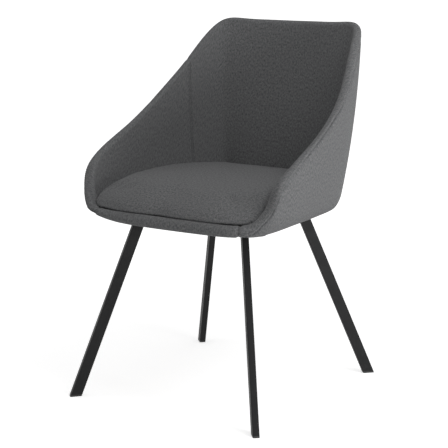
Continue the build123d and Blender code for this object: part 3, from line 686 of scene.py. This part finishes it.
def new_rods(name, centre, forward, rise, radius, long, bow, material):
    """Short bent rods, one at each centre. A ring of a rod lies at s in [-1, 1] along it, with
    radius r sqrt(1 - s^6) and rise bow (1 - 2 s^2)."""
    forward = forward / np.linalg.norm(forward, axis=1)[:, None]
    rise = rise / np.linalg.norm(rise, axis=1)[:, None]
    sideways = np.cross(rise, forward)
    centre, forward, rise, sideways = (
        direction[:, None, None, :] for direction in (centre, forward, rise, sideways)
    )
    s = ROD_RINGS[None, :, None, None]
    angle = (np.arange(ROD_SIDES) * 2 * math.pi / ROD_SIDES)[None, None, :, None]
    ring = (sideways * np.cos(angle) + rise * np.sin(angle)) * radius * np.sqrt(1 - s**6)
    places = centre + forward * s * long / 2 + rise * bow * (1 - 2 * s**2) + ring
    index = np.arange(places[..., 0].size).reshape(places.shape[:3])
    onward = np.roll(index, -1, axis=2)
    squares = (index[:, :-1], index[:, 1:], onward[:, 1:], onward[:, :-1])
    quads = np.stack(squares, axis=3).reshape(-1, 4)
    ends = np.concatenate([index[:, 0], index[:, -1, ::-1]])
    piece = new_piece(name, places, quads.tolist() + ends.tolist(), material)
    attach(piece, "root")
    return piece


def new_stitches(name, line, normal):
    """Stitches at even lengths along a line of places on the cloth with their normals."""
    length = lengths(line)
    count = int(length[-1] / STITCH_PITCH)
    middle = (np.arange(count) + 0.5) * length[-1] / count
    half = STITCH_LENGTH / 2
    forward = along_line(middle + half, length, line) - along_line(middle - half, length, line)
    centre, rise = along_line(middle, length, line), along_line(middle, length, normal)
    stitches = new_rods(
        name, centre, forward, rise, THREAD, STITCH_LENGTH, STITCH_BOW, thread_finish
    )


def cloth_line(cut, reach, dip):
    """A line over the wall at a depth below its surface, with its normals."""
    depth = np.full(reach.shape, dip)
    place, above = wall_place(cut, reach, depth), wall_place(cut, reach, depth - NORMAL_STEP)
    return place.reshape(-1, 3), (above - place).reshape(-1, 3)


cut = wall_cut(np.arange(corner_at + ROW_MARGIN, far_corner - ROW_MARGIN, ROW_STEP))
new_stitches("rim_topstitch", *cloth_line(cut, cut.seam + TOPSTITCH, TOPSTITCH_DIP))
for name, middle in (("right", inside_at), ("left", far_inside)):
    for row, offset in (("a", -TWIN_STITCH), ("b", TWIN_STITCH)):
        cut = wall_cut(np.array([middle + offset]))
        reach = cut.rim_end + (cut.end - cut.rim_end) * INSIDE_ROW
        new_stitches(f"inside_topstitch_{name}_{row}", *cloth_line(cut, reach, TOPSTITCH_DIP))

# Hem staples.
# Wire staples that hold the covers' hem under the seat, driven in until only their crowns show.
STAPLE_CROWN, STAPLE_WIRE, STAPLE_INSET = 0.010, 0.0005, 0.009
STAPLE_BOW = 0.0003

rows = rim_at[1:-1]
cut = wall_cut(np.concatenate([[0.0], rows, [RIM_HALF], 2 * RIM_HALF - rows[::-1]]))
place, below = cloth_line(cut, 0 * cut.seam + HEM - STAPLE_INSET, 0.0)
crosswise = np.cross(UP, cut.out[:, 0])
staples = new_rods(
    "hem_staples_driven", place, crosswise, below, STAPLE_WIRE, STAPLE_CROWN, STAPLE_BOW, zinc
)
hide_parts("hem_staples")

# Seat pad.
# A thick foam pad in the same cloth, domed on top, boxy where it meets the walls and rolled over at
# the front, where it overhangs the band. Its cover is pulled tight under the pad's own board.
PAD_BASE, PAD_CROWN = 0.4406, 0.502
PAD_MIDDLE = -0.040
PAD_SLACK = 0.003  # how much smaller the pad starts, before it swells
PAD_HELD = 0.003  # height up to which the board holds it, above its base
PAD_LIMIT = 0.005  # furthest that a point may swell
PAD_PRESSURE = 4.0
PAD_VOXEL = 0.005
PAD_FRAMES = 20
DENT_DEPTH, DENT_AT, DENT_WIDTH = 0.005, -0.022, 0.026  # in the front, where the cover is drawn in
PAD_SPOKES = 240
PAD_BASE_RINGS = np.linspace(0.1, 1, 14)  # shares of the way out over the base
PAD_SIDE_RINGS = np.linspace(0, 1, 9)[1:-1]  # shares of the way up the sides
PAD_DOME_RINGS = np.sin(np.linspace(1, 0.03, 80) * math.pi / 2)  # and out over the dome

# The pad's shoulder from the middle of its front to the middle of its back: x, y, height, how boxy
# its dome is towards it, and how far its side curls in to the base.
PAD_EDGE = np.array([
    (0.000, -0.270, 0.447, 3.0, 0.006),
    (0.070, -0.269, 0.447, 3.0, 0.006),
    (0.122, -0.267, 0.447, 3.1, 0.005),
    (0.175, -0.256, 0.447, 3.3, 0.004),
    (0.209, -0.241, 0.448, 3.7, 0.005),
    (0.225, -0.216, 0.452, 4.5, 0.010),
    (0.228, -0.172, 0.459, 6.5, 0.016),
    (0.228, -0.120, 0.466, 9.0, 0.016),
    (0.226, -0.060, 0.471, 11.0, 0.013),
    (0.222, 0.010, 0.473, 11.0, 0.011),
    (0.208, 0.088, 0.472, 8.0, 0.010),
    (0.185, 0.144, 0.468, 5.5, 0.012),
    (0.165, 0.189, 0.465, 4.2, 0.007),
    (0.130, 0.212, 0.464, 3.4, 0.007),
    (0.070, 0.218, 0.463, 3.0, 0.008),
    (0.000, 0.221, 0.463, 2.9, 0.005),
])


def pad_form(count):
    """The pad as rings round its middle: a flat base, sides that lean out of it by curl (1 - t)^2
    at a share t of the way up, and a dome shoulder + (crown - shoulder) sqrt(1 - u^n) over a share
    u of the way out, n being its boxiness."""
    knots, rows, at = mirrored_ends(PAD_EDGE, turns=0)
    along = np.linspace(0, 2 * at[-1], count, endpoint=False)
    edge = spline(knots, rows, at[-1] - abs(at[-1] - along))
    x = np.where(along > at[-1], -1.0, 1.0) * edge[:, 0]
    dent = np.where(edge[:, 1] < PAD_MIDDLE, groove(x - DENT_AT, DENT_DEPTH, DENT_WIDTH), 0)
    spoke = np.stack([x, edge[:, 1] + dent - PAD_MIDDLE], axis=1)
    reach = np.linalg.norm(spoke, axis=1)[:, None]
    spoke = spoke / reach
    reach = reach - PAD_SLACK
    shoulder, boxiness, curl = (edge[:, column:column + 1] for column in (2, 3, 4))
    base_out = PAD_BASE_RINGS[None] * (reach - curl)
    share_up = PAD_SIDE_RINGS[None]
    side_out = reach - curl * (1 - share_up) ** 2
    side_up = PAD_BASE + (shoulder - PAD_BASE) * share_up
    dome_share = PAD_DOME_RINGS[None]
    dome_rise = (PAD_CROWN - PAD_SLACK - shoulder) * np.sqrt(1 - dome_share**boxiness)
    out = np.concatenate([base_out, side_out, dome_share * reach], axis=1)
    up = np.concatenate([PAD_BASE + 0 * base_out, side_up, shoulder + dome_rise], axis=1)
    flat = spoke[:, None, :] * out[:, :, None] + np.array([0, PAD_MIDDLE])
    return np.concatenate([flat, up[:, :, None]], axis=2)


def pad_place(tree):
    """The pad's cloth laid over it from the back and down the front: x across, and y with height
    along."""
    place = add_node(tree, "ShaderNodeSeparateXYZ", {0: object_place(tree)}).outputs
    over = add_math(tree, "ADD", place["Y"], place["Z"])
    return add_node(tree, "ShaderNodeCombineXYZ", {"X": place["X"], "Y": over}).outputs[0]


def remeshed(piece, voxel):
    """The piece's mesh made again of even squares."""
    modifier = piece.modifiers.new("Even", "REMESH")
    modifier.mode = "VOXEL"
    modifier.voxel_size = voxel
    graph = bpy.context.evaluated_depsgraph_get()
    mesh = bpy.data.meshes.new_from_object(piece.evaluated_get(graph))
    piece.modifiers.remove(modifier)
    return mesh


def mesh_places(mesh):
    """A mesh's places as an array."""
    places = np.empty(len(mesh.vertices) * 3, dtype=np.float32)
    mesh.vertices.foreach_get("co", places)
    return places.reshape(-1, 3)


def swell(piece, fixed, pressure, limit, frames):
    """Blow a cover up like a stuffed pad with the fixed points held, by no more than a limit."""
    mesh = piece.data
    start = mesh_places(mesh)
    held = piece.vertex_groups.new(name="Held")
    held.add(np.flatnonzero(fixed(start)).tolist(), 1.0, "REPLACE")
    cloth = piece.modifiers.new("Cloth", "CLOTH")
    cloth.settings.use_pressure = True
    cloth.settings.uniform_pressure_force = pressure
    cloth.settings.vertex_group_mass = "Held"
    cloth.settings.effector_weights.gravity = 0
    scene = bpy.context.scene
    for number in range(1, frames + 1):
        scene.frame_set(number)
    graph = bpy.context.evaluated_depsgraph_get()
    swollen = mesh_places(piece.evaluated_get(graph).data)
    move = swollen - start
    distance = np.linalg.norm(move, axis=1)[:, None]
    places = start + move * np.minimum(1, limit / np.maximum(distance, 1e-9))
    piece.modifiers.remove(cloth)
    piece.vertex_groups.remove(held)
    mesh.vertices.foreach_set("co", places.astype(np.float32).ravel())
    mesh.update()
    scene.frame_set(1)


charcoal_pad_cloth = charcoal_finish("Charcoal_pad_cloth", pad_place)
rings = pad_form(PAD_SPOKES)
index = np.arange(rings[..., 0].size).reshape(rings.shape[:2])
onward = np.roll(index, -1, axis=0)
squares = (index[:, :-1], onward[:, :-1], onward[:, 1:], index[:, 1:])
quads = np.stack(squares, axis=2).reshape(-1, 4)
lids = [index[::-1, 0].tolist(), index[:, -1].tolist()]
rough_pad = new_piece("seat_pad_rough", rings, quads.tolist() + lids, charcoal_pad_cloth)
seat_pad = bpy.data.objects.new("seat_pad_filled", remeshed(rough_pad, PAD_VOXEL))
bpy.context.scene.collection.objects.link(seat_pad)
bpy.data.objects.remove(rough_pad)
held_below = PAD_BASE + PAD_HELD
swell(seat_pad, lambda places: places[:, 2] < held_below, PAD_PRESSURE, PAD_LIMIT, PAD_FRAMES)
seat_pad.data.shade_smooth()
rounded = seat_pad.modifiers.new("Rounded", "SUBSURF")
rounded.levels = rounded.render_levels = 1
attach(seat_pad, "root")
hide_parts("pad_cover", "pad_foam")

# Studio.
# A plain white floor that keeps the chair's shadow, a white surround, and soft lamps: a low one on
# the right, one high on the right and a weak one at the front left.
FLOOR_WHITE = (0.85, 0.85, 0.85, 1.0)
FLOOR_HALF = 40.0
FLOOR_GLOW_NEAR, FLOOR_GLOW_FAR = 0.63, 0.84  # what the floor's own white adds for the camera
FLOOR_NEAR, FLOOR_FAR = 0.5, 2.2  # from the chair, where those hold
SURROUND_LIGHT = 0.40
SURROUND_WHITE = (1.0, 1.0, 1.0, 1.0)
# Name, place, what it looks at, size and watts.
LAMPS = (
    ("right", (2.3, -0.4, 0.32), (0.0, 0.0, 0.48), 1.0, 28.0),
    ("above", (1.3, -0.2, 2.2), (0.0, 0.0, 0.45), 1.2, 16.0),
    ("front_left", (-2.2, -1.8, 1.3), (0.0, 0.0, 0.5), 1.6, 7.0),
)


def add_seen(tree):
    """1 for what the camera sees straight, mirrored or through glass, and 0 for other light."""
    ray = add_node(tree, "ShaderNodeLightPath").outputs
    seen = add_math(tree, "MAXIMUM", ray["Is Camera Ray"], ray["Is Glossy Ray"])
    return add_math(tree, "MAXIMUM", seen, ray["Is Transmission Ray"])


floor_finish = bpy.data.materials.new("White_floor")
floor_finish.use_nodes = True
tree = floor_finish.node_tree
tree.nodes.clear()
paint = add_node(tree, "ShaderNodeBsdfDiffuse", {"Color": FLOOR_WHITE}).outputs[0]
outwards = add_node(tree, "ShaderNodeVectorMath", {0: object_place(tree)}, operation="LENGTH")
white = add_range(
    tree, outwards.outputs["Value"], (FLOOR_NEAR, FLOOR_FAR), (FLOOR_GLOW_NEAR, FLOOR_GLOW_FAR)
)
white = add_math(tree, "MULTIPLY", add_seen(tree), white)
glow = add_node(tree, "ShaderNodeEmission", {"Strength": white}).outputs[0]
both = add_node(tree, "ShaderNodeAddShader", {0: paint, 1: glow}).outputs[0]
add_node(tree, "ShaderNodeOutputMaterial", {"Surface": both})
corners = np.array([(-1, -1, 0), (1, -1, 0), (1, 1, 0), (-1, 1, 0)]) * FLOOR_HALF
floor = new_piece("floor", corners, [[0, 1, 2, 3]], floor_finish)

world = bpy.data.worlds.new("Studio")
bpy.context.scene.world = world
world.use_nodes = True
tree = world.node_tree
tree.nodes.clear()
strength = add_range(tree, add_seen(tree), (0.0, 1.0), (SURROUND_LIGHT, 1.0))
surround = {"Color": SURROUND_WHITE, "Strength": strength}
surround = add_node(tree, "ShaderNodeBackground", surround).outputs[0]
add_node(tree, "ShaderNodeOutputWorld", {"Surface": surround})


def facing(place, target):
    """The turn that makes a lamp or a camera at a place look at a target."""
    return (Vector(target) - Vector(place)).to_track_quat("-Z", "Y").to_euler()


for name, place, target, size, power in LAMPS:
    lamp = bpy.data.lights.new(f"lamp_{name}", "AREA")
    lamp.shape = "DISK"
    lamp.size = size
    lamp.energy = power
    holder = bpy.data.objects.new(f"lamp_{name}", lamp)
    holder.location = place
    holder.rotation_euler = facing(place, target)
    bpy.context.scene.collection.objects.link(holder)

# Camera, in front of the chair and to its right, a little above the seat.
CAMERA_AZIMUTH, CAMERA_ELEVATION = math.radians(32.79), math.radians(11.788)
CAMERA_DISTANCE = 3.2
CAMERA_LENS = 111.16
CAMERA_SENSOR = 36.0
AIM_HEIGHT, AIM_ASIDE = 0.3807, -0.0142

aim = (AIM_ASIDE * math.cos(CAMERA_AZIMUTH), AIM_ASIDE * math.sin(CAMERA_AZIMUTH), AIM_HEIGHT)
level = CAMERA_DISTANCE * math.cos(CAMERA_ELEVATION)
camera = bpy.data.objects.new("camera", bpy.data.cameras.new("camera"))
camera.data.lens = CAMERA_LENS
camera.data.sensor_width = CAMERA_SENSOR
camera.location = (
    aim[0] + level * math.sin(CAMERA_AZIMUTH),
    aim[1] - level * math.cos(CAMERA_AZIMUTH),
    aim[2] + CAMERA_DISTANCE * math.sin(CAMERA_ELEVATION),
)
camera.rotation_euler = facing(camera.location, aim)
bpy.context.scene.collection.objects.link(camera)
bpy.context.scene.camera = camera
bpy.context.scene.view_settings.view_transform = "Standard"
